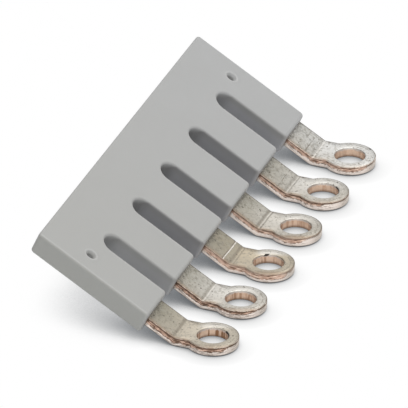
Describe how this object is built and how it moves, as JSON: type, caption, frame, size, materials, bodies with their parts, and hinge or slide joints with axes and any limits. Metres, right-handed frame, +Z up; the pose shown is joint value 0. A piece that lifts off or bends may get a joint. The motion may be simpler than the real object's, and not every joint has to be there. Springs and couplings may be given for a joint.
{
  "type": "terminal jumper",
  "caption": "Insulated terminal jumper: a flat plastic plate with slotted fingers, and bent tin-plated copper strips that end in ring eyes for a row of stud terminals.",
  "frame": {"origin": "middle of the row of eyes, on the plane of their undersides", "axes": "+X along the row of eyes, +Y from the eyes towards the plate, +Z up along the studs"},
  "size_m": [0.0464, 0.0215, 0.0101],
  "materials": {
    "tinned_copper": "matt tin plating on copper sheet, sheared edges bare",
    "grey_plastic": "light grey moulded, fine matt texture"
  },
  "bodies": {
    "root": {"contact_comb": "tinned_copper", "insulating_plate": "grey_plastic"}
  },
  "joints": []
}
